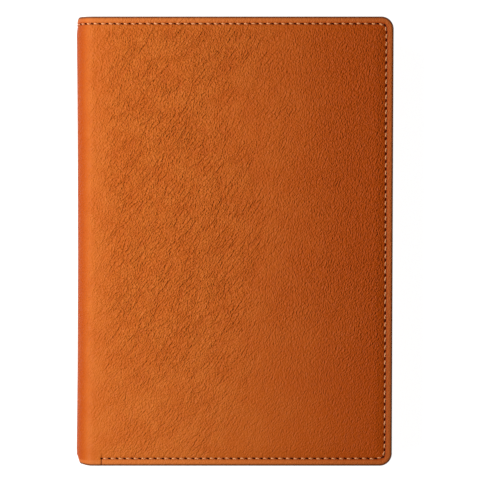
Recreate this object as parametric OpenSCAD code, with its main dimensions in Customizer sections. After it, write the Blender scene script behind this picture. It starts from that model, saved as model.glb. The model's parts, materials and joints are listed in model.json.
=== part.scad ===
// Leather notebook cover with its A6 notebook, closed and lying on its back cover.
// +X runs from the spine to the fore-edge, +Y to the top edge, +Z from the back cover to the front cover.
// The origin is the middle of the face that the cover rests on.

/* [Notebook] */
// Width of the pages
notebook_w = 105; // [95:1:150]
// Height of the pages
notebook_h = 148; // [130:1:215]
// Thickness of one sewn section of pages
signature_t = 1.25; // [0.8:0.05:2]
// Thickness of the notebook's card cover
card_t = 0.4; // [0.3:0.05:0.5]
// Radius of the notebook's fore-edge corners
page_corner_r = 3; // [1:0.5:6]

/* [Cover] */
// Room from the back of the spine to the pages
spine_room = 4.6; // [4.6:0.1:8]
// Room from the pages to the fore-edge
fore_edge_room = 3.7; // [3.7:0.1:8]
// Room from the bottom edge to the pages
bottom_room = 4; // [4:0.1:8]
// Room from the pages to the top edge
top_room = 8; // [8:0.1:14]
// Outer radius of the two folds beside the spine
fold_r = 6.3; // [5.8:0.1:6.4]
// Outer radius of the fore-edge corners
corner_r = 4.4; // [3.4:0.1:5]

/* [Leather] */
// Thickness of the outer leather
shell_t = 1.1; // [0.9:0.05:1.2]
// Thickness of the stiffening boards
board_t = 0.6; // [0.5:0.05:0.7]
// Thickness of the lining
lining_t = 0.4; // [0.3:0.05:0.5]
// Thickness of the pocket wall
wall_t = 0.6; // [0.5:0.05:0.7]
// Thickness of the sleeves that hold the notebook
sleeve_t = 0.6; // [0.5:0.05:0.7]
// Thickness of each card pocket
pocket_t = 0.4; // [0.3:0.05:0.5]
// Width of the sleeves, from the fore-edge
sleeve_w = 92; // [70:1:92]
// Drop from the top edge to the mouth of the document pocket
mouth_drop = 4.5; // [4.5:0.1:5]
// Height of the highest card pocket's mouth above the bottom edge
pocket_mouth = 100; // [70:1:105]
// Drop from one card pocket's mouth to the next
pocket_step = 16; // [10:1:18]

/* [Stitching] */
// Distance from the cover's edge to the middle of its seam
seam_margin = 2.6; // [2.2:0.1:2.8]
// Distance from the spine to the end of the bottom seam
seam_end = 9.3; // [8:0.1:14]
// Width of the thread
thread_w = 0.6; // [0.5:0.05:0.7]

/* [Hidden] */
$fn = 64;
SIGNATURES = 4;
CARD_POCKETS = 3;
rim_w = 3.5; // glued rim of the lining, the pocket wall and the sleeves
slack = 0.2; // play between the lining and the pocket wall
card_play = 0.1; // clearance on each face of the notebook's card inside its sleeve
sleeve_play = 0.4; // clearance above the notebook's card inside its sleeve
slot_t = card_t + 2 * card_play; // gap that a sleeve leaves for the notebook's card
page_under = 0.2; // gap under the pages
page_over = 0.4; // gap between the pages and the card pockets
fold_gap = 0.15; // each body's clearance from the plane that parts it from the next
thread_h = 0.3; // height of the thread
groove_d = 0.35; // depth of the groove that the outer thread lies in
groove_w = thread_w + 0.2;
end_line_w = 0.4; // width of the line pressed from the end of the bottom seam to the edge
tape_t = 0.2; // thickness of the tape on the pages' folds
tape_inset = 6; // distance from either end of the pages to the tape
tape_margin = 0.5; // distance from either face of the pages to the tape
past = 1; // how far a cutting shape runs past what it cuts

// Depths of the layers below the outer face of either cover
lining_d = shell_t + board_t;
play_d = lining_d + lining_t;
wall_d = play_d + slack;
slot_d = wall_d + wall_t;
sleeve_d = slot_d + slot_t;
inside_d = sleeve_d + sleeve_t;
pockets_d = inside_d + CARD_POCKETS * pocket_t;
card_d = slot_d + card_play;

cover_w = spine_room + notebook_w + fore_edge_room;
cover_h = bottom_room + notebook_h + top_room;
cover_t = inside_d + page_under + SIGNATURES * signature_t + page_over + pockets_d;
spine_x = -cover_w / 2;
fore_x = cover_w / 2;
low_y = -cover_h / 2;
high_y = cover_h / 2;
page_x = spine_x + spine_room;
page_y = low_y + bottom_room;
wall_y = high_y - mouth_drop;
sleeve_x = fore_x - sleeve_w;
seam_corner_r = corner_r - seam_margin;

LEATHER = "#b9581f";
LEATHER_INSIDE = "#a34c1b";
THREAD = "#e0a468";
BOARD = "#b8a98c";
PAPER = "#f3ead6";
CARD = "#3a2f2a";
TAPE = "#d8d2c4";

// ---- Shapes that the pieces share ----

// The closed cover seen along Y, inset from its outer face; X is measured from the spine
module section(inset, run_on = 0) {
    translate([fold_r, inset])
        square([cover_w - fold_r + run_on, cover_t - 2 * inset]);
    translate([inset, fold_r])
        square([fold_r - inset + past, cover_t - 2 * fold_r]);
    for (z = [fold_r, cover_t - fold_r])
        translate([fold_r, z])
            circle(fold_r - inset);
}

// The layer between two depths, all the way round from the back cover to the front
module layer_section(outer_d, inner_d) {
    difference() {
        section(outer_d);
        section(inner_d, past);
    }
}

// The part of a section that belongs to the back cover, up to the plane that halves the fold
module back_zone() {
    offset_x = fold_gap * sqrt(2);
    polygon([
        [offset_x, 0], [offset_x + cover_t / 2, cover_t / 2],
        [cover_w, cover_t / 2], [cover_w, 0]
    ]);
}

// The part of a section that belongs to the spine
module spine_zone() {
    offset_z = fold_gap * sqrt(2);
    polygon([[0, offset_z], [cover_t / 2 - offset_z, cover_t / 2], [0, cover_t - offset_z]]);
}

// Runs a section along Y
module along_y(y0, y1) {
    translate([spine_x, y1, 0])
        rotate([90, 0, 0])
            linear_extrude(y1 - y0)
                children();
}

// One cover's layer between two depths
module back_layer(outer_d, inner_d, y0 = low_y, y1 = high_y) {
    along_y(y0, y1)
        intersection() {
            layer_section(outer_d, inner_d);
            back_zone();
        }
}

// The spine's layer between two depths
module spine_layer(outer_d, inner_d, y0 = low_y, y1 = high_y) {
    along_y(y0, y1)
        intersection() {
            layer_section(outer_d, inner_d);
            spine_zone();
        }
}

// A rectangle whose two corners at +X are round
module leaf(x0, x1, y0, y1, r) {
    translate([x0, y0])
        square([x1 - x0 - r, y1 - y0]);
    translate([x0, y0 + r])
        square([x1 - x0, y1 - y0 - 2 * r]);
    for (y = [y0 + r, y1 - r])
        translate([x1 - r, y])
            circle(r);
}

// Keeps what lies inside the cover's own outline
module trimmed() {
    intersection() {
        children();
        translate([0, 0, -past])
            linear_extrude(cover_t + 2 * past)
                leaf(spine_x - past, fore_x, low_y, high_y, corner_r);
    }
}

// A flat plate with the cover's outline, between two depths of the back cover
module plate(outer_d, inner_d, x0, y0, y1) {
    trimmed()
        translate([x0, y0, outer_d])
            cube([fore_x - x0, y1 - y0, inner_d - outer_d]);
}

// The line of the cover's seam: across the top, down the fore-edge and back along the bottom
module seam_line(width) {
    half = width / 2;
    difference() {
        leaf(spine_x - past, fore_x - seam_margin + half,
            low_y + seam_margin - half, high_y - seam_margin + half, seam_corner_r + half);
        leaf(spine_x - 2 * past, fore_x - seam_margin - half,
            low_y + seam_margin + half, high_y - seam_margin - half, seam_corner_r - half);
        translate([spine_x - 2 * past, low_y])
            square([seam_end + 2 * past - half, 2 * seam_margin]);
    }
}

// The groove that the outer thread lies in, and the line pressed from its end to the bottom edge
module outer_groove() {
    linear_extrude(cover_t) {
        seam_line(groove_w);
        translate([spine_x + seam_end - end_line_w / 2, low_y])
            square([end_line_w, seam_margin]);
    }
}

// Thread of the cover's seam on an inner face at a depth, inside a rectangle
module inner_seam(depth, x0, x1, y0, y1) {
    intersection() {
        translate([0, 0, depth])
            linear_extrude(thread_h)
                seam_line(thread_w);
        translate([x0, y0, depth])
            cube([x1 - x0, y1 - y0, thread_h]);
    }
}

// Turns a piece made for the back cover over, onto the front cover
module front_side() {
    translate([0, 0, cover_t])
        mirror([0, 0, 1])
            children();
}

// ---- Pieces that both covers have ----

// Outer leather of one cover, up to the middle of its fold
module shell() {
    color(LEATHER)
        difference() {
            trimmed()
                back_layer(0, shell_t);
            intersection() {
                back_layer(-past, groove_d);
                outer_groove();
            }
        }
}

// Stiffening board between the outer leather and the lining
module board() {
    color(BOARD)
        translate([spine_x + fold_r, low_y + rim_w, shell_t])
            cube([cover_w - fold_r - rim_w, cover_h - 2 * rim_w, board_t]);
}

// Lining, hollowed for the board inside its glued rim
module lining() {
    color(LEATHER_INSIDE)
        difference() {
            trimmed()
                back_layer(shell_t, play_d);
            intersection() {
                back_layer(0, lining_d);
                translate([spine_x - past, low_y + rim_w, 0])
                    cube([cover_w - rim_w + past, cover_h - 2 * rim_w, cover_t]);
            }
        }
}

// Inner wall of the document pocket, glued at the fore-edge and the bottom and open at the top
module pocket_wall() {
    color(LEATHER_INSIDE)
        difference() {
            trimmed()
                back_layer(play_d, slot_d, low_y, wall_y);
            intersection() {
                back_layer(0, wall_d);
                translate([spine_x - past, low_y + rim_w, 0])
                    cube([cover_w - rim_w + past, cover_h, cover_t]);
            }
        }
}

// Sleeve for the notebook's card, open towards the spine
module sleeve() {
    room_h = wall_y - low_y - 2 * rim_w + sleeve_play;
    color(LEATHER)
        difference() {
            plate(slot_d, inside_d, sleeve_x, low_y, wall_y);
            translate([sleeve_x - past, low_y + rim_w, slot_d - past])
                cube([sleeve_w - rim_w + past, room_h, past + slot_t]);
        }
}

// Thread on the outer face of one cover
module outer_thread() {
    color(THREAD)
        trimmed()
            intersection() {
                back_layer(groove_d - thread_h, groove_d);
                linear_extrude(cover_t)
                    seam_line(thread_w);
            }
}

// Thread that closes the top of a sleeve
module sleeve_thread() {
    color(THREAD)
        translate([sleeve_x + seam_margin, wall_y - seam_margin, inside_d])
            cube([sleeve_w - 2 * seam_margin - thread_w, thread_w, thread_h]);
}

// The notebook's card cover on one side
module notebook_card() {
    color(CARD)
        intersection() {
            back_layer(card_d, card_d + card_t, page_y, page_y + notebook_h);
            linear_extrude(cover_t)
                leaf(spine_x, page_x + notebook_w, page_y, page_y + notebook_h, page_corner_r);
        }
}

// ---- Back cover and the pages that lie on it ----

module back_inner_thread() {
    color(THREAD) {
        inner_seam(play_d, spine_x + fold_r, fore_x, wall_y, high_y);
        inner_seam(slot_d, spine_x + seam_end, sleeve_x, low_y, page_y);
        inner_seam(inside_d, sleeve_x, fore_x, low_y, wall_y);
    }
}

// One sewn section of pages, counted from the back
module signature(i) {
    color(PAPER)
        translate([0, 0, inside_d + page_under + (i - 1) * signature_t])
            linear_extrude(signature_t)
                leaf(page_x, page_x + notebook_w, page_y, page_y + notebook_h, page_corner_r);
}

// Cloth tape that joins the sections along their folds
module binding_tape() {
    tape_h = notebook_h - 2 * tape_inset;
    color(TAPE)
        translate([page_x - tape_t, page_y + tape_inset, inside_d + page_under + tape_margin])
            cube([tape_t, tape_h, SIGNATURES * signature_t - 2 * tape_margin]);
}

// ---- Spine ----

module spine_shell() {
    color(LEATHER)
        difference() {
            spine_layer(0, shell_t);
            intersection() {
                spine_layer(-past, groove_d);
                outer_groove();
            }
        }
}

module spine_lining() {
    color(LEATHER_INSIDE)
        difference() {
            spine_layer(shell_t, play_d);
            spine_layer(0, lining_d, low_y + rim_w, high_y - rim_w);
        }
}

module spine_pocket_wall() {
    color(LEATHER_INSIDE)
        spine_layer(wall_d, slot_d, low_y, wall_y);
}

module spine_outer_thread() {
    color(THREAD)
        intersection() {
            spine_layer(groove_d - thread_h, groove_d);
            linear_extrude(cover_t)
                seam_line(thread_w);
        }
}

module spine_inner_thread() {
    seam_y = high_y - seam_margin;
    color(THREAD)
        spine_layer(play_d, play_d + thread_h, seam_y - thread_w / 2, seam_y + thread_w / 2);
}

module notebook_spine_card() {
    color(CARD)
        spine_layer(card_d, card_d + card_t, page_y, page_y + notebook_h);
}

// ---- Front cover ----

// Height of a card pocket's mouth; pocket 1 lies against the sleeve and pocket 3 is the lowest
function mouth_y(i) = low_y + pocket_mouth - (i - 1) * pocket_step;

// Depth of a card pocket's outer side
function pocket_d(i) = inside_d + (i - 1) * pocket_t;

module card_pocket(i) {
    color(LEATHER)
        front_side()
            plate(pocket_d(i), pocket_d(i) + pocket_t, sleeve_x, low_y, mouth_y(i));
}

// Lowest point at which a seam lies on a given card pocket and not on the next one
function exposed_y(i) = i == CARD_POCKETS ? low_y : mouth_y(i + 1);

module front_inner_thread() {
    color(THREAD)
        front_side() {
            inner_seam(play_d, spine_x + fold_r, fore_x, wall_y, high_y);
            inner_seam(slot_d, spine_x + seam_end, sleeve_x, low_y, page_y);
            inner_seam(inside_d, sleeve_x, fore_x, mouth_y(1), wall_y);
            for (i = [1 : CARD_POCKETS])
                inner_seam(pocket_d(i + 1), sleeve_x, fore_x, exposed_y(i), mouth_y(i));
        }
}

// Thread that closes the card pockets on the side towards the spine
module card_pocket_thread() {
    color(THREAD)
        front_side()
            for (i = [1 : CARD_POCKETS]) {
                y0 = max(exposed_y(i), low_y + seam_margin + thread_w);
                translate([sleeve_x + seam_margin, y0, pocket_d(i + 1)])
                    cube([thread_w, mouth_y(i) - y0, thread_h]);
            }
}

shell();  // back_shell
board();  // back_board
lining();  // back_lining
pocket_wall();  // back_pocket_wall
sleeve();  // back_sleeve
outer_thread();  // back_outer_thread
back_inner_thread();
sleeve_thread();  // back_sleeve_thread
notebook_card();  // notebook_back_card
signature(1);  // signature_1
signature(2);  // signature_2
signature(3);  // signature_3
signature(4);  // signature_4
binding_tape();
spine_shell();
spine_lining();
spine_pocket_wall();
spine_outer_thread();
spine_inner_thread();
notebook_spine_card();
front_side() shell();  // front_shell
front_side() board();  // front_board
front_side() lining();  // front_lining
front_side() pocket_wall();  // front_pocket_wall
front_side() sleeve();  // front_sleeve
front_side() outer_thread();  // front_outer_thread
front_inner_thread();
front_side() sleeve_thread();  // front_sleeve_thread
card_pocket(1);  // card_pocket_1
card_pocket(2);  // card_pocket_2
card_pocket(3);  // card_pocket_3
card_pocket_thread();
front_side() notebook_card();  // notebook_front_card
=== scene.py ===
"""Looks of the leather notebook cover: a tan cover with sewn, painted edges round an A6 notebook."""
import json
import math

import bpy
import numpy as np
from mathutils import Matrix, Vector


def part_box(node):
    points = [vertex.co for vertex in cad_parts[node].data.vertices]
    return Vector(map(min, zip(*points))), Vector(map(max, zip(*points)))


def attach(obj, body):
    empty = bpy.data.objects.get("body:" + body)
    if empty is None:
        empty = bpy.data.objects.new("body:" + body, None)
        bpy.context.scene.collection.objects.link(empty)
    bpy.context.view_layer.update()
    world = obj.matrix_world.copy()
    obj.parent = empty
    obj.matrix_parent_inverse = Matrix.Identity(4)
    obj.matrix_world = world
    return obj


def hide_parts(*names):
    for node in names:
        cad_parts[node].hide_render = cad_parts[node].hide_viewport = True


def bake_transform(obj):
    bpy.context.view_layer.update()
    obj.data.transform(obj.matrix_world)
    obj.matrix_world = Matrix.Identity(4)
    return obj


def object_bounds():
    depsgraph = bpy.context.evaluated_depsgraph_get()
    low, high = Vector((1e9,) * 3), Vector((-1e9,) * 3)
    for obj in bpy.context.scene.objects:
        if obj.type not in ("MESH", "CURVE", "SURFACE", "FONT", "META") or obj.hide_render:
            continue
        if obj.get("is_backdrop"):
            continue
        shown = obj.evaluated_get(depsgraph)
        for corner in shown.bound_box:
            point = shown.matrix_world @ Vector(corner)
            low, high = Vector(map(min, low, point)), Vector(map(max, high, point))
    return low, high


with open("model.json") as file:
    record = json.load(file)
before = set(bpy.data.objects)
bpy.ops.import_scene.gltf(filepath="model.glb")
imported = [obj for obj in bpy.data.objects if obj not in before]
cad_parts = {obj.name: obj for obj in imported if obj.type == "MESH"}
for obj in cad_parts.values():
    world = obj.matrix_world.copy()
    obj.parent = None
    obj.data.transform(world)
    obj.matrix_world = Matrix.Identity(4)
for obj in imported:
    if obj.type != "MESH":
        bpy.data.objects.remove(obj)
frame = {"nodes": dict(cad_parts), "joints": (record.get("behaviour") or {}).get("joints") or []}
cad_low, cad_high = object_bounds()

MM = 0.001

# ---- Sizes in millimetres, from the frame ----


def corner(node, which, axis):
    """One coordinate of a CAD node's box: which is 0 for the lowest corner and 1 for the highest."""
    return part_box(node)[which][axis] / MM


SPINE_X, FORE_X = cad_low.x / MM, cad_high.x / MM
HALF_H, THICK = cad_high.y / MM, cad_high.z / MM
FOLD_R = frame["joints"][0]["pos_m"][2] / MM / (1 - math.pi / 4)
STRAIGHT = THICK / 2 - FOLD_R
ARC = FOLD_R * math.pi / 2
REACH = STRAIGHT + ARC + FORE_X - SPINE_X - FOLD_R

SHELL_D = corner("back_board", 0, 2)
BOARD_D = corner("back_board", 1, 2)
LINING_D = corner("back_inner_thread", 0, 2)
WALL_D = corner("spine_pocket_wall", 0, 0) - SPINE_X
SLOT_D = corner("back_sleeve", 0, 2)
INSIDE_D = corner("back_sleeve", 1, 2)
CARD_D = corner("notebook_spine_card", 0, 0) - SPINE_X
POCKET_T = corner("card_pocket_1", 1, 2) - corner("card_pocket_1", 0, 2)
WALL_TOP = corner("back_sleeve", 1, 1)
SLEEVE_X = corner("back_sleeve", 0, 0)
PAGE_X, PAGE_END = corner("signature_1", 0, 0), corner("signature_1", 1, 0)
PAGE_Y, PAGE_TOP = corner("signature_1", 0, 1), corner("signature_1", 1, 1)
THREAD_W = corner("spine_inner_thread", 1, 1) - corner("spine_inner_thread", 0, 1)
SEAM_IN = HALF_H - corner("spine_inner_thread", 1, 1) + THREAD_W / 2
CARD_T = 0.4
RIM_W = 3.5  # sewn rim, where the layers lie on each other
RIM_LOW, RIM_HIGH = 2.0, 4.2  # where an inner layer goes from thin to full
PRESSED = 0.45  # how much thinner the sewn rim is
SEAM_SINK = 0.10  # depth of the thread's mark in an inner layer
CORNER_R = 4.4
PAGE_R = 3.0
SEAM_R = CORNER_R - SEAM_IN
SEAM_END = 9.3  # from the spine to the last hole of the bottom seam
PITCH = 2.7
SPINE_BOW, BOW_REACH = 0.5, 13
FORE_LEAN = 0.35
DRAWN = 3.9  # how far from its ends the spine is drawn in

# ---- Noise and easing ----


def perlin(x, y, seed):
    """Smooth noise from about -1 to 1 with cells one unit wide."""
    angle = np.random.default_rng(seed).random((64, 64)) * 2 * math.pi
    ix, iy = np.floor(x).astype(int), np.floor(y).astype(int)
    fx, fy = x - ix, y - iy
    ease_x = fx * fx * fx * (fx * (fx * 6 - 15) + 10)
    ease_y = fy * fy * fy * (fy * (fy * 6 - 15) + 10)

    def slope(dx, dy):
        a = angle[(ix + dx) % 64, (iy + dy) % 64]
        return np.cos(a) * (fx - dx) + np.sin(a) * (fy - dy)

    low = slope(0, 0) * (1 - ease_x) + slope(1, 0) * ease_x
    high = slope(0, 1) * (1 - ease_x) + slope(1, 1) * ease_x
    return (low * (1 - ease_y) + high * ease_y) * 1.5


def smooth(low, high, x):
    """0 below low, 1 above high, smooth between."""
    t = np.clip((np.asarray(x, float) - low) / (high - low), 0, 1)
    return t * t * (3 - 2 * t)


def bell(x, width):
    return np.exp(-(np.asarray(x, float) / width) ** 2)


def turned(x, y, degrees, along, across):
    """Coordinates along and across a direction, in cells of the given lengths."""
    a = math.radians(degrees)
    return ((x * math.cos(a) + y * math.sin(a)) / along,
            (y * math.cos(a) - x * math.sin(a)) / across)


# ---- Where a point of a layer lies ----
# u runs over a cover's outer face from the middle of the spine to the fore-edge, and depth is
# measured in from that face.


def flat_u(x):
    """u of a point on the flat of a cover."""
    return STRAIGHT + ARC + x - SPINE_X - FOLD_R


def placed(u, y, depth, back):
    """Points in metres of a layer of the front half of the cover, or of the back half."""
    u, y, depth = np.broadcast_arrays(*(np.asarray(v, float) for v in (u, y, depth)))
    turn = np.clip((u - STRAIGHT) / FOLD_R, 0, math.pi / 2)
    x = SPINE_X + FOLD_R - (FOLD_R - depth) * np.cos(turn) + np.maximum(u - STRAIGHT - ARC, 0)
    z = THICK - FOLD_R + (FOLD_R - depth) * np.sin(turn) + np.minimum(u - STRAIGHT, 0)
    # The spine bows in a little along its length, and the fore-edge leans
    from_spine = x - SPINE_X
    x = x + SPINE_BOW * (1 - (y / HALF_H) ** 2) * (1 - smooth(0, BOW_REACH, from_spine))
    x = x + FORE_LEAN * (y / HALF_H - 1) * smooth(0, FORE_X - SPINE_X, from_spine)
    if back:
        z = THICK - z
    return np.stack([x, y, z], axis=-1) * MM


def pulled_in(u, y):
    """y of a point of a layer, after the ends of the spine are drawn in by the folding."""
    low = 3.1 * (1 - smooth(2.6, 5.6, u)) + 0.7 * (1 - smooth(4, 10.5, u))
    high = 1.1 * (1 - smooth(1.2, 4.6, u))
    return (y + low * np.clip(1 - (y + HALF_H) / DRAWN, 0, 1) ** 1.2
            - high * np.clip(1 - (HALF_H - y) / DRAWN, 0, 1) ** 1.2)


def fold(obj, back):
    """Bakes a piece's placement into its mesh, the same for either cover."""
    if back:
        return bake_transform(obj)
    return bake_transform(obj)


# ---- Mesh building ----


def make_object(name, points, faces, attributes=None):
    mesh = bpy.data.meshes.new(name)
    mesh.from_pydata(np.asarray(points).tolist(), [], faces)
    mesh.update()
    mesh.polygons.foreach_set("use_smooth", np.ones(len(mesh.polygons), bool))
    for key, values in (attributes or {}).items():
        values = np.asarray(values, np.float32)
        kind, field = ("FLOAT_VECTOR", "vector") if values.ndim == 2 else ("FLOAT", "value")
        mesh.attributes.new(key, kind, "POINT").data.foreach_set(field, values.ravel())
    obj = bpy.data.objects.new(name, mesh)
    bpy.context.scene.collection.objects.link(obj)
    return obj


def stations(start, end, step, low_lines, high_lines):
    """Places from start to end about step apart, with the given ones by each end."""
    low = start + np.asarray(low_lines, float)
    high = end - np.asarray(high_lines, float)[::-1]
    count = max(1, round((high[0] - low[-1]) / step))
    return np.concatenate([low, np.linspace(low[-1], high[0], count + 1)[1:-1], high])


def around(nu, ny):
    """Grid cells of the border, in order."""
    cells = [(i, 0) for i in range(nu)] + [(nu - 1, j) for j in range(1, ny)]
    cells += [(i, ny - 1) for i in range(nu - 2, -1, -1)] + [(0, j) for j in range(ny - 2, 0, -1)]
    return np.array(cells)


def sheet(name, u0, u1, y0, y1, shown, hidden, back, step=1.2, lines=(), cut=False, edge=0.2,
          low_r=0.0, high_r=0.0, stride=5, extra_u=(), groove_shade=None):
    """A closed sheet of one half of the cover between two depths, each a number or a function of
    u, y and the distance from the edge. The shown face is the finely divided one. cut leaves the
    side at u0 square, where the other half of the same layer goes on."""
    lines = [edge] + [e for e in lines if e > edge]
    us = stations(u0, u1, step, [0] if cut else lines, lines)
    us = np.array(sorted(set(np.round(us, 5)) | set(extra_u)))
    ys = stations(y0, y1, step, lines, lines)
    nu, ny = len(us), len(ys)
    u, y = (a.copy() for a in np.meshgrid(us, ys, indexing="ij"))
    rim = np.minimum.reduce([u1 - u, y - y0, y1 - y] + ([] if cut else [u - u0]))
    li, lj = around(nu, ny).T
    du = np.where(li == nu - 1, 1.0, np.where((li == 0) & (not cut), -1.0, 0.0))
    dy = np.where(lj == 0, -1.0, np.where(lj == ny - 1, 1.0, 0.0))
    # The fore-edge corners are bent round
    for sign, r, limit in ((-1, low_r, y0), (1, high_r, y1)):
        if r <= 0:
            continue
        cu, cy = u1 - r, limit - sign * r
        a, b = u - cu, (y - cy) * sign
        inside = (a > 0) & (b > 0)
        shrink = np.where(inside, np.maximum(a, b) / np.maximum(np.hypot(a, b), 1e-9), 1)
        u, y = np.where(inside, cu + a * shrink, u), np.where(inside, cy + b * shrink * sign, y)
        near = inside[li, lj]
        size = np.maximum(np.hypot(u[li, lj] - cu, y[li, lj] - cy), 1e-9)
        du = np.where(near, (u[li, lj] - cu) / size, du)
        dy = np.where(near, (y[li, lj] - cy) / size, dy)

    def at(depth, pu, py, pe):
        return depth(pu, py, pe) if callable(depth) else np.full(np.shape(pu), float(depth))

    d_shown, d_hidden = at(shown, u, y, rim), at(hidden, u, y, rim)
    way = 1 if d_hidden.mean() > d_shown.mean() else -1
    lu, ly = u[li, lj], y[li, lj]
    parts = [(u, y, d_shown, rim)]
    turns = np.linspace(0, math.pi / 2, 4)[1:]
    profile = [(math.sin(t), d_shown[li, lj] + way * edge * (1 - math.cos(t)), edge * (1 - math.sin(t)))
               for t in turns]
    profile += [(math.sin(t), d_hidden[li, lj] - way * edge * (1 - math.cos(t)), 0) for t in turns[::-1]]
    profile += [(0, d_hidden[li, lj], 0)]
    for out, depth, r in profile:
        parts.append((lu + du * edge * out, ly + dy * edge * out, depth, np.full(len(li), float(r))))
    ki = sorted(set(range(0, nu, stride)) | {nu - 1})
    kj = sorted(set(range(0, ny, stride)) | {ny - 1})
    inner = np.ix_(ki[1:-1], kj[1:-1])
    parts.append((u[inner], y[inner], d_hidden[inner], np.full(u[inner].shape, 9.0)))
    pu, py, pd, pe = (np.concatenate([np.ravel(p[k]) for p in parts]) for k in range(4))
    marks = groove_shade(pu, py, pe) if groove_shade else np.zeros(len(pu))
    py = pulled_in(pu, py)
    grid = np.arange(nu * ny).reshape(nu, ny)
    faces = np.stack([grid[:-1, :-1], grid[1:, :-1], grid[1:, 1:], grid[:-1, 1:]], -1)
    faces = faces.reshape(-1, 4).tolist()
    top_count = len(faces)
    count = len(li)
    rings = [grid[li, lj]] + [nu * ny + k * count + np.arange(count) for k in range(len(profile))]
    for a, b in zip(rings, rings[1:]):
        faces += np.stack([a, b, np.roll(b, -1), np.roll(a, -1)], -1).tolist()
    edge_count = len(faces)
    last = {(int(i), int(j)): int(v) for i, j, v in zip(li, lj, rings[-1])}
    base = nu * ny + len(profile) * count
    for a, i in enumerate(ki[1:-1]):
        for b, j in enumerate(kj[1:-1]):
            last.setdefault((i, j), base + a * (len(kj) - 2) + b)
    for i0, i1 in zip(ki, ki[1:]):
        for j0, j1 in zip(kj, kj[1:]):
            around_cell = [(i, j0) for i in (range(i0, i1) if j0 == 0 else [i0])]
            around_cell += [(i1, j) for j in (range(j0, j1) if i1 == nu - 1 else [j0])]
            around_cell += [(i, j1) for i in (range(i1, i0, -1) if j1 == ny - 1 else [i1])]
            around_cell += [(i0, j) for j in (range(j1, j0, -1) if i0 == 0 else [j1])]
            faces.append([last[c] for c in around_cell][::-1])
    if back != (way < 0):
        faces = [f[::-1] for f in faces]
    where = np.stack([pu * (-1 if back else 1), py, pd], -1)
    obj = make_object(name, placed(pu, py, pd, back), faces, {"sheet": where, "rim": pe, "groove_shade": marks})
    mesh = obj.data
    kinds = np.zeros(len(faces), int)
    kinds[top_count:edge_count] = 1
    if cut:
        on_cut = np.abs(pu - u0) < 1e-6
        cap = np.array([all(on_cut[v] for v in f) for f in faces])
        kinds[cap] = 2
        edge_caps = {}
        for f, is_cap in zip(faces, cap):
            for a, b in zip(f, f[1:] + f[:1]):
                if on_cut[a] and on_cut[b]:
                    edge_caps.setdefault((min(a, b), max(a, b)), set()).add(bool(is_cap))
        keys = np.empty(len(mesh.edges) * 2, int)
        mesh.edges.foreach_get("vertices", keys)
        flags = [len(edge_caps.get((min(a, b), max(a, b)), ())) > 1 for a, b in keys.reshape(-1, 2)]
        mesh.attributes.new("sharp_edge", "BOOLEAN", "EDGE").data.foreach_set("value", flags)
    obj["kinds"] = kinds.tolist()
    return obj


def dress(obj, face, edge=None):
    """Gives a sheet its material, and another one on its edges."""
    obj.data.materials.append(face)
    if edge:
        obj.data.materials.append(edge)
        kinds = np.array(obj["kinds"])
        obj.data.polygons.foreach_set("material_index", (kinds == 1).astype(np.int32))
    del obj["kinds"]
    return obj


# ---- Node materials ----


def node(tree, kind, inputs=None, **settings):
    """Adds a shader node. An input that is a socket is linked, and any other value is set."""
    made = tree.nodes.new("ShaderNode" + kind)
    for key, value in settings.items():
        setattr(made, key, value)
    for key, value in (inputs or {}).items():
        if isinstance(value, bpy.types.NodeSocket):
            tree.links.new(value, made.inputs[key])
        else:
            made.inputs[key].default_value = value
    return made


def maths(tree, operation, a, b=0.0):
    return node(tree, "Math", {0: a, 1: b}, operation=operation).outputs[0]


def product(tree, a, b):
    return maths(tree, "MULTIPLY", a, b)


def size_of(tree, value):
    return maths(tree, "ABSOLUTE", value)


def ranged(tree, value, low, high, to_low=0.0, to_high=1.0):
    return node(tree, "MapRange", {"Value": value, "From Min": low, "From Max": high,
                                   "To Min": to_low, "To Max": to_high},
                interpolation_type="SMOOTHSTEP").outputs[0]


def mixed(tree, factor, a, b):
    made = node(tree, "Mix", {0: factor}, data_type="RGBA")
    for key, value in ((6, a), (7, b)):
        if isinstance(value, bpy.types.NodeSocket):
            tree.links.new(value, made.inputs[key])
        else:
            made.inputs[key].default_value = (*value, 1)
    return made.outputs[2]


def noise(tree, vector, scale, detail=3.0, rough=0.5, output=0):
    return node(tree, "TexNoise", {"Vector": vector, "Scale": scale, "Detail": detail,
                                   "Roughness": rough}).outputs[output]


def attribute(tree, name, output):
    return node(tree, "Attribute", attribute_name=name).outputs[output]


def stretched(tree, vector, degrees, scale):
    """Coordinates turned about Z and scaled, so that what is drawn in them runs that way."""
    turned_by = node(tree, "VectorRotate", {"Vector": vector, "Angle": math.radians(-degrees)},
                     rotation_type="Z_AXIS").outputs[0]
    return node(tree, "VectorMath", {0: turned_by, 1: scale}, operation="MULTIPLY").outputs[0]


def shader(name):
    material = bpy.data.materials.new(name)
    material.use_nodes = True
    tree = material.node_tree
    return material, tree, tree.nodes["Principled BSDF"]


def bump(tree, height, distance, strength=1.0):
    return node(tree, "Bump", {"Height": height, "Distance": distance, "Strength": strength}).outputs[0]


def warped(tree, place, scale, amount):
    """Coordinates shifted by noise, so that no pattern drawn in them runs straight."""
    shift = noise(tree, place, scale, 2.0, output=1)
    shift = node(tree, "VectorMath", {0: shift, 1: (0.5, 0.5, 0.5)}, operation="SUBTRACT").outputs[0]
    shift = node(tree, "VectorMath", {0: shift, 1: (amount, amount, 0)}, operation="MULTIPLY").outputs[0]
    return node(tree, "VectorMath", {0: place, 1: shift}, operation="ADD").outputs[0]


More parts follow.
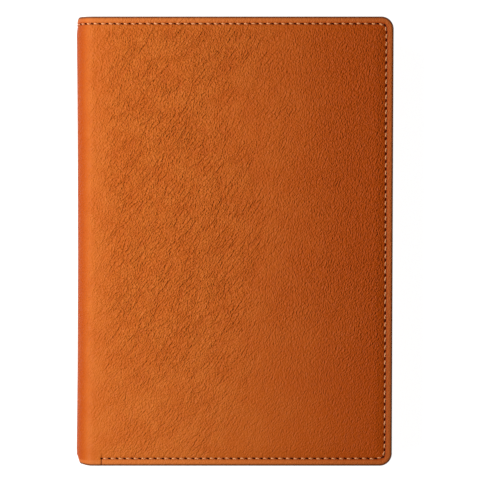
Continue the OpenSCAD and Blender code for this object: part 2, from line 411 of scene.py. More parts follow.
def outer_leather():
    """Waxed tan leather: fine pebbles, drawn out into creases, with mottled dye, painted shade and a
    painted highlight.
    """
    material, tree, out = shader("tan_leather")
    place = attribute(tree, "sheet", "Vector")
    rim = attribute(tree, "rim", "Fac")
    u, y, _ = node(tree, "SeparateXYZ", {0: place}).outputs
    from_spine = size_of(tree, u)
    wavy = warped(tree, warped(tree, place, 0.05, 3.0), 0.4, 0.7)
    fine = warped(tree, wavy, 0.5, 0.7)
    # Looser, longer grain towards the spine, and a tighter one towards the fore-edge
    drift = noise(tree, place, 0.035, 1.0)
    to_fore = ranged(tree, maths(tree, "ADD", from_spine, product(tree, drift, 50.0)), 70, 125)

    def furrows(coordinates, degrees, scale, reach):
        """Furrows between cells drawn out one way."""
        drawn = stretched(tree, coordinates, degrees, scale)
        cells = node(tree, "TexVoronoi", {"Vector": drawn, "Scale": 1.0},
                     feature="DISTANCE_TO_EDGE").outputs[0]
        return ranged(tree, cells, 0.0, reach, 1.0, 0.0)

    def by_side(loose, tight):
        return node(tree, "Mix", {0: to_fore, 2: loose, 3: tight}).outputs[0]

    bumps = by_side(noise(tree, stretched(tree, fine, 55, (1.5, 1.9, 1.0)), 1.0, 0.0),
                    noise(tree, stretched(tree, fine, 70, (1.3, 2.0, 1.0)), 1.0, 0.0))
    furrow = by_side(furrows(fine, 55, (0.80, 1.15, 1.0), 0.22), furrows(fine, 70, (0.62, 1.25, 1.0), 0.22))
    # Creases: longer furrows that come and go
    valley = 0.0
    for degrees, scale in ((50, (0.10, 0.42, 1.0)), (60, (0.13, 0.55, 1.0))):
        line = furrows(wavy, degrees, scale, 0.15)
        patch = noise(tree, stretched(tree, place, degrees, (0.10, 0.20, 1.0)), 1.0, 1.0)
        patch = ranged(tree, patch, 0.36, 0.68)
        valley = maths(tree, "MAXIMUM", product(tree, line, patch), valley)
    valley = product(tree, valley, ranged(tree, to_fore, 0.0, 1.0, 1.0, 0.25))
    # Calmer on the fold, along the seam, towards the fore-edge and at the foot
    calm = ranged(tree, from_spine, 7.0, 24.0, 0.4, 1.2)
    calm = product(tree, calm, ranged(tree, rim, 1.8, 6.0, 0.35, 1.0))
    calm = product(tree, calm, ranged(tree, to_fore, 0.0, 1.0, 1.0, 0.85))
    calm = product(tree, calm, ranged(tree, y, -75.0, -15.0, 0.55, 1.0))
    pores = noise(tree, place, 3.2, 2.0)
    height = maths(tree, "SUBTRACT", product(tree, bumps, 0.8), product(tree, furrow, 0.14))
    height = maths(tree, "SUBTRACT", height, product(tree, valley, 0.36))
    height = maths(tree, "ADD", product(tree, height, calm), product(tree, pores, 0.09))
    tree.links.new(bump(tree, height, 0.00057), out.inputs["Normal"])
    # Dye, with painted shade and a painted highlight
    patches = ranged(tree, noise(tree, place, 0.11, 3.0, 0.6), 0.35, 0.65)
    dye = mixed(tree, patches, (0.560, 0.124, 0.0125), (0.590, 0.144, 0.0170))
    # Painted shade: darker and redder towards the fore-edge, away from the light
    fore_edge_shade = ranged(tree, maths(tree, "ADD", from_spine, product(tree, drift, 20.0)), 45, 135)
    dye = mixed(tree, fore_edge_shade, dye, (0.475, 0.070, 0.0014))
    # Painted shade in the grain's furrows and in the creases
    hollow_shade = maths(tree, "ADD", product(tree, furrow, 0.24), product(tree, valley, 0.20))
    dye = mixed(tree, product(tree, hollow_shade, calm), dye, (0.37, 0.050, 0.0025))
    # Painted shade on the fold: darker and redder where the cover turns down to the spine
    fold_shade = ranged(tree, from_spine, 5.5, 10.5, 0.85, 0.0)
    dye = mixed(tree, fold_shade, dye, (0.385, 0.054, 0.001))
    # Painted highlight, paler on the sewn margin by the edge where the leather is pressed, and painted
    # shade, darker in the seam's groove
    margin_highlight = ranged(tree, rim, 1.5, 2.3, 0.40, 0.0)
    dye = mixed(tree, margin_highlight, dye, (0.66, 0.20, 0.050))
    # Painted shade in the seam's groove and on the line pressed at its end
    dye = mixed(tree, product(tree, attribute(tree, "groove_shade", "Fac"), 0.6), dye, (0.16, 0.018, 0.002))
    painted = ranged(tree, rim, 0.45, 0.85, 0.8, 0.0)
    dye = mixed(tree, painted, dye, (0.13, 0.034, 0.008))
    tree.links.new(dye, out.inputs["Base Color"])
    gloss = ranged(tree, noise(tree, place, 0.5, 3.0), 0.3, 0.7, 0.44, 0.58)
    tree.links.new(gloss, out.inputs["Roughness"])
    out.inputs["Specular IOR Level"].default_value = 0.11
    return material


def painted_edge():
    """Dark edge paint, uneven where it was brushed on."""
    material, tree, out = shader("edge_paint")
    place = attribute(tree, "sheet", "Vector")
    streaks = noise(tree, node(tree, "VectorMath", {0: place, 1: (0.7, 0.7, 9.0)},
                               operation="MULTIPLY").outputs[0], 1.0, 4.0)
    dye = mixed(tree, ranged(tree, streaks, 0.35, 0.65), (0.10, 0.026, 0.006), (0.21, 0.062, 0.016))
    tree.links.new(dye, out.inputs["Base Color"])
    tree.links.new(ranged(tree, streaks, 0.3, 0.7, 0.34, 0.55), out.inputs["Roughness"])
    tree.links.new(bump(tree, streaks, 0.00008), out.inputs["Normal"])
    return material


def inner_leather():
    """Undyed, lightly finished leather of the inside."""
    material, tree, out = shader("inner_leather")
    place = attribute(tree, "sheet", "Vector")
    rim = attribute(tree, "rim", "Fac")
    fine = warped(tree, place, 0.5, 1.2)
    cells = node(tree, "TexVoronoi", {"Vector": fine, "Scale": 1.5}, feature="DISTANCE_TO_EDGE").outputs[0]
    cells = ranged(tree, cells, 0.0, 0.3)
    pores = noise(tree, place, 4.0, 3.0)
    height = maths(tree, "ADD", product(tree, cells, 0.4), product(tree, pores, 0.6))
    tree.links.new(bump(tree, height, 0.00004, 0.7), out.inputs["Normal"])
    patches = ranged(tree, noise(tree, place, 0.08, 4.0, 0.6), 0.35, 0.65)
    dye = mixed(tree, patches, (0.40, 0.122, 0.034), (0.50, 0.165, 0.050))
    # Painted shade in the furrows between the grain's cells
    between = product(tree, maths(tree, "SUBTRACT", 1.0, cells), 0.22)
    dye = mixed(tree, between, dye, (0.22, 0.055, 0.013))
    # Painted shade in the seam's groove
    groove = ranged(tree, size_of(tree, maths(tree, "SUBTRACT", rim, SEAM_IN)), 0.1, 0.8, 0.3, 0.0)
    dye = mixed(tree, groove, dye, (0.20, 0.045, 0.010))
    tree.links.new(dye, out.inputs["Base Color"])
    tree.links.new(ranged(tree, pores, 0.3, 0.7, 0.55, 0.7), out.inputs["Roughness"])
    out.inputs["Specular IOR Level"].default_value = 0.35
    return material


def waxed_thread():
    """Two-ply waxed thread: twist is the length along it, the turn round it, and how far the stitch's end
    faces the light, for its painted shade.
    """
    material, tree, out = shader("thread")
    place = attribute(tree, "twist", "Vector")
    along, turn, towards_light = node(tree, "SeparateXYZ", {0: place}).outputs
    phase = maths(tree, "ADD", product(tree, along, 6.5), product(tree, turn, 4 * math.pi))
    ply = product(tree, maths(tree, "ADD", maths(tree, "SINE", phase), 1.0), 0.5)
    fuzz = noise(tree, attribute(tree, "sheet", "Vector"), 7.0, 3.0)
    tree.links.new(bump(tree, maths(tree, "ADD", ply, fuzz), 0.00007), out.inputs["Normal"])
    # Painted shade between the plies
    dye = mixed(tree, ply, (0.52, 0.165, 0.045), (0.92, 0.42, 0.165))
    dye = mixed(tree, ranged(tree, fuzz, 0.35, 0.7, 0.0, 0.35), dye, (0.95, 0.50, 0.24))
    # Painted shade on the end of each stitch away from the light
    dye = mixed(tree, ranged(tree, towards_light, 0.1, 0.65, 0.8, 0.0), dye, (0.50, 0.110, 0.012))
    tree.links.new(dye, out.inputs["Base Color"])
    tree.links.new(ranged(tree, fuzz, 0.3, 0.7, 0.42, 0.6), out.inputs["Roughness"])
    out.inputs["Sheen Weight"].default_value = 0.15
    return material


def needle_hole_shade():
    """Painted shade in a hole that the needle left."""
    material, tree, out = shader("needle_hole_shade")
    fuzz = noise(tree, attribute(tree, "sheet", "Vector"), 3.0, 2.0)
    dye = mixed(tree, ranged(tree, fuzz, 0.35, 0.65), (0.032, 0.003, 0.001), (0.06, 0.006, 0.002))
    tree.links.new(dye, out.inputs["Base Color"])
    tree.links.new(bump(tree, fuzz, 0.00005), out.inputs["Normal"])
    out.inputs["Roughness"].default_value = 0.9
    out.inputs["Specular IOR Level"].default_value = 0.1
    return material


def paper():
    """Cream writing paper, a little uneven in tone."""
    material, tree, out = shader("paper")
    place = node(tree, "TexCoord").outputs["Object"]
    tone = noise(tree, place, 60.0, 3.0)
    fibres = noise(tree, place, 2500.0, 3.0)
    height = node(tree, "SeparateXYZ", {0: place}).outputs[2]
    leaves = maths(tree, "SINE", product(tree, height, 2 * math.pi / (0.1 * MM)))
    dye = mixed(tree, ranged(tree, tone, 0.35, 0.65), (0.84, 0.775, 0.63), (0.87, 0.81, 0.665))
    # Painted shade between the leaves on the page edges
    dye = mixed(tree, ranged(tree, leaves, -1.0, 0.2, 0.25, 0.0), dye, (0.52, 0.45, 0.33))
    tree.links.new(dye, out.inputs["Base Color"])
    tree.links.new(bump(tree, fibres, 0.00002, 0.5), out.inputs["Normal"])
    out.inputs["Roughness"].default_value = 0.85
    out.inputs["Specular IOR Level"].default_value = 0.25
    return material


def dark_card():
    """The notebook's dark, slightly fibrous card cover."""
    material, tree, out = shader("notebook_card")
    place = attribute(tree, "sheet", "Vector")
    fibres = noise(tree, node(tree, "VectorMath", {0: place, 1: (1.2, 3.6, 1.0)},
                              operation="MULTIPLY").outputs[0], 1.0, 5.0, 0.65)
    dye = mixed(tree, ranged(tree, fibres, 0.3, 0.7), (0.020, 0.016, 0.014), (0.045, 0.036, 0.030))
    tree.links.new(dye, out.inputs["Base Color"])
    tree.links.new(bump(tree, fibres, 0.00004), out.inputs["Normal"])
    tree.links.new(ranged(tree, fibres, 0.3, 0.7, 0.6, 0.78), out.inputs["Roughness"])
    return material


def woven_tape():
    """Open cotton weave of the tape on the folds of the pages."""
    material, tree, out = shader("binding_cloth")
    place = node(tree, "TexCoord").outputs["Object"]
    _, y, z = node(tree, "SeparateXYZ", {0: place}).outputs
    turns = 2 * math.pi / (0.5 * MM)
    weft = maths(tree, "SINE", product(tree, y, turns))
    warp = maths(tree, "SINE", product(tree, z, turns))
    weave = product(tree, weft, warp)
    # Painted shade between the yarns of the weave
    dye = mixed(tree, ranged(tree, weave, -0.8, 0.8), (0.42, 0.38, 0.31), (0.72, 0.68, 0.60))
    tree.links.new(dye, out.inputs["Base Color"])
    tree.links.new(bump(tree, weave, 0.00006), out.inputs["Normal"])
    out.inputs["Roughness"].default_value = 0.85
    return material


def grey_board():
    """Pressed fibre board of the stiffeners."""
    material, tree, out = shader("stiffener")
    place = node(tree, "TexCoord").outputs["Object"]
    fibres = noise(tree, place, 900.0, 4.0, 0.65)
    dye = mixed(tree, ranged(tree, fibres, 0.35, 0.65), (0.36, 0.30, 0.21), (0.50, 0.43, 0.31))
    tree.links.new(dye, out.inputs["Base Color"])
    tree.links.new(bump(tree, fibres, 0.00005), out.inputs["Normal"])
    out.inputs["Roughness"].default_value = 0.9
    return material


TAN, EDGE, INSIDE, THREAD = outer_leather(), painted_edge(), inner_leather(), waxed_thread()
HOLE, PAPER, CARD, TAPE, BOARD = needle_hole_shade(), paper(), dark_card(), woven_tape(), grey_board()

# ---- The seam ----


def seam_holes():
    """(u, y, direction in degrees) of every needle hole of one half, from the middle of the spine
    at the top, round the fore-edge, to the end of the seam at the bottom."""
    side_u, side_y = REACH - SEAM_IN, HALF_H - SEAM_IN
    bend_u, bend_y = REACH - CORNER_R, HALF_H - CORNER_R
    quarter = SEAM_R * math.pi / 2
    end_u = flat_u(SPINE_X + SEAM_END)
    top, right, low = bend_u + quarter / 2, 2 * bend_y + quarter, bend_u - end_u + quarter / 2

    def at(run):
        """The point that far along the seam."""
        if run < bend_u:
            return run, side_y, 0.0
        run -= bend_u
        if run < quarter:
            a = run / SEAM_R
            return bend_u + SEAM_R * math.sin(a), bend_y + SEAM_R * math.cos(a), -math.degrees(a)
        run -= quarter
        if run < 2 * bend_y:
            return side_u, bend_y - run, -90.0
        run -= 2 * bend_y
        if run < quarter:
            a = run / SEAM_R
            return bend_u + SEAM_R * math.cos(a), -bend_y - SEAM_R * math.sin(a), -90 - math.degrees(a)
        return bend_u - (run - quarter), -side_y, -180.0

    pitches = [(top, 43), (right, 57), (low, 37)]
    runs, start = [0.0], 0.0
    for length, count in pitches:
        runs += [start + length * (k + 1) / count for k in range(count)]
        start += length
    return [at(r) for r in runs]


HOLES = seam_holes()
HOLE_U = np.array([h[0] for h in HOLES if h[1] > 0 and h[2] == 0])
SIDE_Y = np.array(sorted(h[1] for h in HOLES if h[2] == -90))
END_U = HOLES[-1][0]
TOP_PITCH, SIDE_PITCH = HOLE_U[1] - HOLE_U[0], SIDE_Y[1] - SIDE_Y[0]


def puckers(u, y, rim):
    """How much the stitches draw the leather in: 1 at each hole and 0 between."""
    by_side = (REACH - u) < (HALF_H - np.abs(y))
    phase = np.where(by_side, (y - SIDE_Y[0]) / SIDE_PITCH, u / TOP_PITCH)
    wave = 0.5 + 0.5 * np.cos(2 * math.pi * phase)
    sewn = np.where((y < 0) & (u < END_U - 0.5), 0, 1)
    return wave * bell(rim - SEAM_IN, 1.1) * sewn


def sewn_part(u, y):
    """1 where the cover's seam runs and 0 past its end at the bottom."""
    return np.where((y < 0) & (u < END_U + 3), smooth(END_U - 0.5, END_U + 0.3, u), 1.0)


def end_line(u, y):
    """The line pressed from the end of the seam to the bottom edge."""
    return bell(u - END_U, 0.24) * (1 - smooth(SEAM_IN - 0.3, SEAM_IN + 0.5, y + HALF_H))


def seam_groove_shade(u, y, rim):
    """Painted shade along the seam's groove and on the line pressed from the seam's end."""
    by_seam = bell(rim - SEAM_IN, 0.42) * sewn_part(u, y) * 0.75
    faint = 0.35 * bell(u - END_U, 0.3) * (1 - smooth(3.5, 5.5, y + HALF_H))
    return np.clip(np.maximum.reduce([by_seam, end_line(u, y), faint]), 0, 1)


def scar(u, y, near_x, near_y, reach, height):
    """A small puckered spot in the hide, with creases running out from it."""
    du, dy = u - flat_u(near_x), y - near_y
    far, angle = np.hypot(du, dy), np.arctan2(dy, du)
    rays = np.cos(angle * 7 + 1.5 * np.sin(angle * 3 + near_y) + 0.25 * far)
    return height * (rays * bell(far, reach) * smooth(0.2, 2.0, far) + 1.2 * bell(far, 1.0))


def leather_face(seed):
    """Depth of the outer leather's face below the pattern's."""
    def depth(u, y, rim):
        sewn = sewn_part(u, y)
        press = RIM_SINK * (1 - smooth(2.9, 6.5, rim)) * (0.35 + 0.65 * sewn)
        groove = GROOVE * bell(rim - SEAM_IN, 0.5) * sewn
        by_edge = EDGE_SINK * (1 - smooth(0.2, 1.2, rim))
        tucks = TUCK * puckers(u, y, rim)
        away = smooth(2.0, 9.0, rim)
        by_spine = smooth(0.0, 5.0, u)
        swell = (SWELL * perlin(u / 31, y / 31 + 7, seed)
                 + SMALL_SWELL * perlin(u / 13, y / 13, seed + 1))
        ta, tc = turned(u + 2.2 * perlin(u / 17, y / 17, seed + 5), y, 55, 8.0, 2.6)
        ridges = RIDGE * perlin(ta, tc, seed + 2) * smooth(-0.2, 0.5, perlin(u / 26, y / 26, seed + 3))
        scars = sum((scar(u, y, *spot) for spot in SCARS), 0.0) if seed == FRONT_SEED else 0.0
        line = LINE_SINK * end_line(u, y)
        return press + groove + by_edge + tucks + line - (swell + ridges) * away * by_spine + scars
    return depth


FRONT_SEED, BACK_SEED = 11, 47
SLEEVE_SEED, POCKET_SEED, LEAF_SEED = 9, 21, 60
# Height in millimetres of each part of the outer leather's relief
RIM_SINK, GROOVE, EDGE_SINK, LINE_SINK, TUCK = 0.30, 0.20, 0.10, 0.22, 0.06
SWELL, SMALL_SWELL, RIDGE = 0.14, 0.03, 0.02
# Puckered spots on the front: x, y, reach and height
SCARS = ((-27.0, 49.3, 8.5, 0.12), (-30.4, 17.5, 5.0, 0.07))
# Distances from the edge at which the sheets are divided
INNER_LINES = (0.6, 1.5, 2.1, 2.6, 3.1, 3.3, 3.7)
WALL_LINES = (0.6, 1.5, 2.1, 2.6, 3.1, 3.7)
SLEEVE_LINES = (0.6, 1.5, 2.1, 2.6, 3.1, 3.3, 3.7, 4.4)
POCKET_LINES = (0.5, 1.0, 1.5, 2.1, 2.6, 3.1, 3.7, 4.4)
SEAM_LINES = (0.35, 0.6, 0.9, 1.2, 1.5, 1.8, 2.05, 2.3, 2.45, 2.6, 2.75, 2.9, 3.15, 3.5, 3.9, 4.4)
END_LINES = tuple(END_U + d for d in (-0.45, -0.22, -0.08, 0.0, 0.08, 0.22, 0.45))


STITCH_W = THREAD_W * 0.9
STITCH_GAP = 0.17  # part of the pitch left free at each end of a stitch
STITCH_LEAN = 0.13
STITCH_DIVE = 0.34
OUTER_LIFT, INNER_LIFT = 0.14, -0.16
LONGEST = 4.0  # a wider space than this has no stitch


def stitch_row(name, holes, depth_at, back, lift, seed):
    """Tubes of thread from hole to hole, each diving into the leather at both ends."""
    random = np.random.default_rng(seed)
    sides, rings = 10, 11
    points, faces, where, twist = [], [], [], []
    t = np.linspace(0, 1, rings)
    rise = 1 - np.abs(2 * t - 1) ** 3.2
    swell = 0.72 + 0.28 * (1 - np.abs(2 * t - 1) ** 4)
    turns = np.arange(sides) / sides * 2 * math.pi
    for (ua, ya, _), (ub, yb, _) in zip(holes, holes[1:]):
        span = math.hypot(ub - ua, yb - ya)
        if span > LONGEST:
            continue
        run = STITCH_GAP + (1 - 2 * STITCH_GAP) * t
        along = np.array([ub - ua, yb - ya]) / span
        side = np.array([-along[1], along[0]])
        slant = STITCH_LEAN * (0.5 - t) * 2 + random.normal(0, 0.03)
        pu = ua + (ub - ua) * run + side[0] * slant
        py = ya + (yb - ya) * run + side[1] * slant
        base = depth_at(pu, py)
        size = STITCH_W * swell * (1 + random.normal(0, 0.04))
        level = base + STITCH_DIVE - (STITCH_DIVE + lift + random.normal(0, 0.02)) * rise
        start = sum(len(p) for p in points)
        cosine, sine = np.cos(turns), np.sin(turns)
        gu = pu[:, None] + side[0] * size[:, None] / 2 * cosine
        gy = py[:, None] + side[1] * size[:, None] / 2 * cosine
        gd = level[:, None] - size[:, None] * 0.40 * sine
        gy = pulled_in(gu, gy)
        points.append(placed(gu, gy, gd, back).reshape(-1, 3))
        where.append(np.stack([gu * (-1 if back else 1), gy, gd], -1).reshape(-1, 3))
        length = np.broadcast_to((run * span)[:, None], gu.shape)
        around_it = np.broadcast_to((turns / (2 * math.pi))[None, :], gu.shape)
        # Painted shade: the end of a stitch away from the light, on the right, is darkened, and stitches up
        # the fore-edge are not
        towards_light = 0.75 if abs(along[1]) > 0.5 else (1 - t if along[0] > 0 else t)
        towards_light = np.broadcast_to(np.reshape(towards_light, (-1, 1)), gu.shape)
        twist.append(np.stack([length, around_it, towards_light], -1).reshape(-1, 3))
        index = start + np.arange(rings * sides).reshape(rings, sides)
        step = np.roll(index, -1, axis=1)
        quads = np.stack([index[:-1], step[:-1], step[1:], index[1:]], -1).reshape(-1, 4).tolist()
        quads += [index[0][::-1].tolist(), index[-1].tolist()]
        faces += quads
    if back:
        faces = [f[::-1] for f in faces]
    obj = make_object(name, np.concatenate(points), faces,
                      {"sheet": np.concatenate(where), "twist": np.concatenate(twist)})
    obj.data.materials.append(THREAD)
    return obj


HOLE_LONG, HOLE_WIDE, HOLE_TILT = 0.62, 0.33, 20.0


def hole_row(name, holes, depth_at, back):
    """A small dimple in the outer face at each hole, closed underneath by a point, dark with painted shade.
    """
    sides = 12
    turns = np.arange(sides) / sides * 2 * math.pi
    points, faces, where = [], [], []
    for k, (hu, hy, direction) in enumerate(holes):
        a = math.radians(direction - HOLE_TILT)
        along, across = HOLE_LONG * np.cos(turns), HOLE_WIDE * np.sin(turns)
        cu = along * math.cos(a) - across * math.sin(a)
        cy = along * math.sin(a) + across * math.cos(a)
        pu = np.concatenate([hu + cu, hu + cu * 0.5, [hu]])
        py = np.concatenate([hy + cy, hy + cy * 0.5, [hy]])
        depth = depth_at(pu, py)
        under = depth[-1] + 0.3
        depth = depth + np.concatenate([np.full(sides, 0.01), np.full(sides, -0.06), [-0.05]])
        py = pulled_in(pu, py)
        points += [placed(pu, py, depth, back), placed(hu, hy, under, back)[None, :]]
        where += [np.stack([pu * (-1 if back else 1), py, depth], -1), [[hu, hy, 0.0]]]
        start = k * (2 * sides + 2)
        for i in range(sides):
            j = (i + 1) % sides
            faces.append([start + i, start + j, start + sides + j, start + sides + i])
            faces.append([start + sides + i, start + sides + j, start + 2 * sides])
            faces.append([start + j, start + i, start + 2 * sides + 1])
    if back:
        faces = [f[::-1] for f in faces]
    obj = make_object(name, np.concatenate(points), faces, {"sheet": np.concatenate(where)})
    obj.data.materials.append(HOLE)
    return obj


def rim_of(u, y):
    """Distance from the cover's edge."""
    a, b = u - (REACH - CORNER_R), np.abs(y) - (HALF_H - CORNER_R)
    corner_rim = CORNER_R - np.hypot(np.maximum(a, 0), np.maximum(b, 0))
    return np.where((a > 0) & (b > 0), corner_rim, np.minimum(REACH - u, HALF_H - np.abs(y)))


# ---- Layers inside the cover ----


def pressed(depth, to):
    """An inner face at a depth, pressed thinner towards another depth at its sewn rim."""
    return lambda u, y, rim: (depth + (to - depth) * (1 - smooth(RIM_LOW, RIM_HIGH, rim))
                              - SEAM_SINK * bell(rim - SEAM_IN, 0.5))


def mouth(node_name):
    return corner(node_name, 1, 1)


POCKETS = ["card_pocket_1", "card_pocket_2", "card_pocket_3"]


def inner_depth(back):
    """Depth of the innermost face at a place, where the seam's thread lies."""
    def depth(u, y):
        rim = rim_of(u, y)
        sewn = np.where(y < WALL_TOP, SLOT_D, LINING_D)
        covered = u > flat_u(SLEEVE_X)
        sewn = np.where(covered & (y < WALL_TOP), INSIDE_D - PRESSED, sewn)
        if not back:
            for k, name in enumerate(POCKETS):
                level = INSIDE_D - PRESSED + (k + 1) * POCKET_T
                sewn = np.where(covered & (y < mouth(name)), level, sewn)
        return sewn - SEAM_SINK * bell(rim - SEAM_IN, 0.5)
    return depth


for back in (True, False):
    side = "back" if back else "front"
    cover = side + "_cover"
    seed = BACK_SEED if back else FRONT_SEED
    face = leather_face(seed)

    leather = sheet("leather_" + side, 0, REACH, -HALF_H, HALF_H, face, SHELL_D, back, step=0.6,
                    lines=SEAM_LINES, cut=True, edge=0.35, low_r=CORNER_R, high_r=CORNER_R,
                    stride=7, extra_u=END_LINES, groove_shade=seam_groove_shade)
    dress(leather, TAN, EDGE)
    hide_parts(side + "_shell", "spine_shell")
    fold(leather, back)

    def outer_at(u, y, face=face):
        return face(u, y, rim_of(u, y))

    thread = stitch_row("seam_" + side, HOLES, outer_at, back, OUTER_LIFT, seed)
    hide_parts(side + "_outer_thread", "spine_outer_thread")
    fold(thread, back)
    holes = hole_row("seam_holes_" + side, HOLES, outer_at, back)
    fold(holes, back)

    lining = sheet("lining_" + side, 0, REACH, -HALF_H, HALF_H, pressed(LINING_D, LINING_D),
                   lambda u, y, rim: np.where(rim < RIM_W, SHELL_D, BOARD_D), back,
                   lines=INNER_LINES, cut=True, low_r=CORNER_R, high_r=CORNER_R)
    dress(lining, INSIDE, EDGE)
    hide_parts(side + "_lining", "spine_lining")
    fold(lining, back)

    wall = sheet("pocket_wall_" + side, 0, REACH, -HALF_H, WALL_TOP, SLOT_D, WALL_D, back,
                 lines=WALL_LINES, cut=True, low_r=CORNER_R)
    dress(wall, INSIDE, EDGE)
    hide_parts(side + "_pocket_wall", "spine_pocket_wall")
    fold(wall, back)

    sleeve = sheet("sleeve_" + side, flat_u(SLEEVE_X), REACH, -HALF_H, WALL_TOP,
                   pressed(INSIDE_D, INSIDE_D - PRESSED),
                   lambda u, y, rim: np.where(rim < RIM_W, SLOT_D, SLOT_D + 0.6), back,
                   lines=SLEEVE_LINES, low_r=CORNER_R)
    dress(sleeve, TAN, EDGE)
    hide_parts(side + "_sleeve")
    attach(sleeve, cover)

    inner_at = inner_depth(back)
    inner = stitch_row("inner_seam_" + side, HOLES, inner_at, back, INNER_LIFT, seed + 1)
    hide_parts(side + "_inner_thread", "spine_inner_thread")
    fold(inner, back)

    card = sheet("notebook_cover_" + side, 0, flat_u(PAGE_END), PAGE_Y, PAGE_TOP, CARD_D, CARD_D + CARD_T,
                 back, cut=True, edge=0.12, low_r=PAGE_R, high_r=PAGE_R)
    dress(card, CARD)
    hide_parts(f"notebook_{side}_card", "notebook_spine_card")
    fold(card, back)

    board = frame["nodes"][side + "_board"]
    board.data.materials.clear()
    board.data.materials.append(BOARD)

# ---- Card pockets and the threads that close the sleeves ----


def pocket_side(level, mark):
    """Depth of a face of a card pocket, pressed at its sewn rim and marked by the seam."""
    def depth(u, y, rim):
        from_seams = np.minimum(REACH - u, y + HALF_H)
        thin = PRESSED * (1 - smooth(RIM_LOW, RIM_HIGH, from_seams))
        return level - thin - mark * bell(rim - SEAM_IN, 0.5)
    return depth


for k, name in enumerate(POCKETS):
    level = INSIDE_D + k * POCKET_T
    pocket = sheet(name + "_leather", flat_u(SLEEVE_X), REACH, -HALF_H, mouth(name),
                   pocket_side(level + POCKET_T, 0.08), pocket_side(level, 0.0), False,
                   lines=POCKET_LINES, edge=0.15, low_r=CORNER_R)
    dress(pocket, TAN, EDGE)
    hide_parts(name)
    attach(pocket, "front_cover")


def straight_row(start, end):
    """Evenly spaced holes on a straight line."""
    length = math.hypot(end[0] - start[0], end[1] - start[1])
    count = max(1, round(length / PITCH))
    direction = math.degrees(math.atan2(end[1] - start[1], end[0] - start[0]))
    return [(start[0] + (end[0] - start[0]) * k / count, start[1] + (end[1] - start[1]) * k / count,
             direction) for k in range(count + 1)]


for back in (True, False):
    side = "back" if back else "front"
    row_y = corner(side + "_sleeve_thread", 0, 1) + THREAD_W / 2
    row = straight_row((flat_u(SLEEVE_X) + 2.6, row_y), (REACH - SEAM_IN - THREAD_W, row_y))
    thread = stitch_row("sleeve_seam_" + side, row, lambda u, y: np.full(np.shape(u), INSIDE_D),
                        back, INNER_LIFT, SLEEVE_SEED)
    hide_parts(side + "_sleeve_thread")
    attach(thread, side + "_cover")

rows = []
for k, name in enumerate(POCKETS):
    low = mouth(POCKETS[k + 1]) if k + 1 < len(POCKETS) else -HALF_H + SEAM_IN + THREAD_W
    x = flat_u(corner("card_pocket_thread", 0, 0)) + THREAD_W / 2
    rows.append(straight_row((x, low + 0.3), (x, mouth(name) - 0.5)))


def on_pockets(u, y):
    sewn = np.full(np.shape(u), INSIDE_D)
    for k, name in enumerate(POCKETS):
        sewn = np.where(y < mouth(name), INSIDE_D + (k + 1) * POCKET_T, sewn)
    return sewn


pocket_holes = [h for row in rows[::-1] for h in row]
thread = stitch_row("card_pocket_seam", pocket_holes, on_pockets, False, INNER_LIFT, POCKET_SEED)
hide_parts("card_pocket_thread")
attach(thread, "front_cover")

# ---- Notebook ----

LEAVES = 6
LEAF_GAP, LEAF_ROUND = 0.015, 0.05
TAPE_T = 0.15


def outline(x0, x1, y0, y1, r, inset):
    """A page's outline with two round corners at the fore-edge, drawn in by an inset."""
    a = np.linspace(0, math.pi / 2, 9)
    r = r - inset
    x1, y0, y1 = x1 - inset, y0 + inset, y1 - inset
    low = np.stack([x1 - r + r * np.sin(a), y0 + r - r * np.cos(a)], -1)
    high = np.stack([x1 - r + r * np.cos(a), y1 - r + r * np.sin(a)], -1)
    return np.concatenate([[[x0, y0]], low, high, [[x0, y1]]])


for k in range(4):
    name = f"signature_{k + 1}"
    z0, z1 = corner(name, 0, 2), corner(name, 1, 2)
    middle, half = (z0 + z1) / 2, (z1 - z0) / 2
    random = np.random.default_rng(LEAF_SEED + k)
    levels, insets = [], []
    for leaf in range(LEAVES):
        a, b = z0 + (z1 - z0) * leaf / LEAVES, z0 + (z1 - z0) * (leaf + 1) / LEAVES
        inset = random.uniform(0.0, 0.07)
        levels += [a + LEAF_GAP, a + LEAF_ROUND, b - LEAF_ROUND, b - LEAF_GAP]
        insets += [inset + LEAF_ROUND, inset, inset, inset + LEAF_ROUND]
    rings = []
    for z, inset in zip(levels, insets):
        bulge = half - math.sqrt(max(half ** 2 - (z - middle) ** 2, 0))
        ring = outline(PAGE_X + bulge, PAGE_END, PAGE_Y, PAGE_TOP, PAGE_R, inset)
        rings.append(np.column_stack([ring, np.full(len(ring), z)]))
    count = len(rings[0])
    index = np.arange(len(rings) * count).reshape(len(rings), count)
    step = np.roll(index, -1, axis=1)
    faces = np.stack([index[:-1], step[:-1], step[1:], index[1:]], -1).reshape(-1, 4).tolist()
    faces += [index[0][::-1].tolist(), index[-1].tolist()]
    pages = make_object("pages_" + name[-1], np.concatenate(rings) * MM, faces)
    pages.data.polygons.foreach_set("use_smooth", np.zeros(len(faces), bool))
    pages.data.materials.append(PAPER)
    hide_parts(name)
    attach(pages, "back_cover")

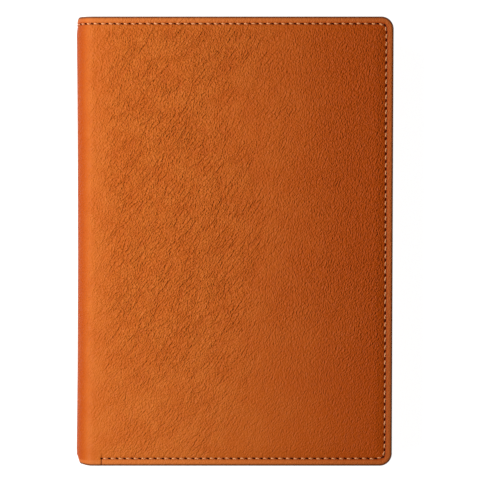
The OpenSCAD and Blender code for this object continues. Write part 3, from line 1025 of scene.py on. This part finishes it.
tape_low, tape_high = (np.array(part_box("binding_tape")[k]) / MM for k in (0, 1))
tz = np.linspace(tape_low[2], tape_high[2], 41)
ty = np.linspace(tape_low[1], tape_high[1], 60)
first_low, first_high = corner("signature_1", 0, 2), corner("signature_1", 1, 2)
fold_phase = (tz - first_low) / (first_high - first_low)
hollow = 0.10 * np.abs(np.cos(math.pi * fold_phase)) ** 6
front_x = np.broadcast_to((tape_low[0] + hollow)[None, :], (len(ty), len(tz)))
yy, zz = np.meshgrid(ty, tz, indexing="ij")
front_face = np.stack([front_x, yy, zz], -1)
rear_face = front_face + [TAPE_T, 0, 0]
points = np.concatenate([front_face.reshape(-1, 3), rear_face.reshape(-1, 3)]) * MM
grid = np.arange(len(ty) * len(tz)).reshape(len(ty), len(tz))
quads = np.stack([grid[:-1, :-1], grid[:-1, 1:], grid[1:, 1:], grid[1:, :-1]], -1).reshape(-1, 4)
faces = quads.tolist() + (quads[:, ::-1] + grid.size).tolist()
li, lj = around(*grid.shape).T
loop = grid[li, lj]
after = np.roll(loop, -1)
faces += np.stack([loop, after, after + grid.size, loop + grid.size], -1).tolist()
tape = make_object("spine_tape", points, faces)
tape.data.materials.append(TAPE)
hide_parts("binding_tape")
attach(tape, "back_cover")

# ---- Floor, lights and camera ----

FLOOR_GLOW, SKY_LIGHT = 0.975, 0.08
FLOOR_R, FLOOR_SIDES, FLOOR_Z = 2.0, 24, -0.0002
KEY_PLACE, KEY_TARGET = (-0.19, 0.05, 0.26), (-0.10, 0.05, 0.01)
KEY_SIZE, KEY_POWER, KEY_COLOUR = (0.50, 0.08), 1.62, (1.0, 0.97, 0.93)
CAMERA_X, CAMERA_Y, CAMERA_H = 0.00190, 0.00040, 0.949


def floor_material():
    material, tree, out = shader("studio_floor")
    out.inputs["Base Color"].default_value = (0.25, 0.25, 0.25, 1)
    out.inputs["Roughness"].default_value = 1.0
    out.inputs["Specular IOR Level"].default_value = 0.0
    out.inputs["Emission Color"].default_value = (1, 1, 1, 1)
    out.inputs["Emission Strength"].default_value = FLOOR_GLOW
    return material


def make_floor():
    turns = [2 * math.pi * k / FLOOR_SIDES for k in range(FLOOR_SIDES)]
    points = [(FLOOR_R * math.cos(a), FLOOR_R * math.sin(a), FLOOR_Z) for a in turns]
    floor = make_object("floor", points, [list(range(FLOOR_SIDES))])
    floor.data.materials.append(floor_material())
    floor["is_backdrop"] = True


def key_light():
    """A long soft light on the spine's side."""
    data = bpy.data.lights.new("key", "AREA")
    data.shape = "RECTANGLE"
    data.size, data.size_y = KEY_SIZE
    data.energy = KEY_POWER
    data.color = KEY_COLOUR
    light = bpy.data.objects.new("key", data)
    light.location = KEY_PLACE
    light.rotation_euler = (Vector(KEY_TARGET) - Vector(KEY_PLACE)).to_track_quat("-Z", "Y").to_euler()
    light.visible_camera = False
    bpy.context.scene.collection.objects.link(light)


make_floor()
key_light()

# The world lights the cover faintly, and behind it is as white as the floor
world = bpy.data.worlds.new("studio")
world.use_nodes = True
sky = world.node_tree.nodes["Background"].inputs
sky["Color"].default_value = (1, 1, 1, 1)
seen = world.node_tree.nodes.new("ShaderNodeLightPath").outputs["Is Camera Ray"]
strength = ranged(world.node_tree, seen, 0.0, 1.0, SKY_LIGHT, FLOOR_GLOW)
world.node_tree.links.new(strength, sky["Strength"])
bpy.context.scene.world = world
bpy.context.scene.view_settings.view_transform = "Standard"

camera_data = bpy.data.cameras.new("camera")
camera_data.lens = 200
camera_data.sensor_width = 36
camera = bpy.data.objects.new("camera", camera_data)
bpy.context.scene.collection.objects.link(camera)
camera.location = (CAMERA_X, CAMERA_Y, THICK * MM + CAMERA_H)
camera.rotation_euler = (0, 0, 0)
bpy.context.scene.camera = camera

low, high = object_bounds()
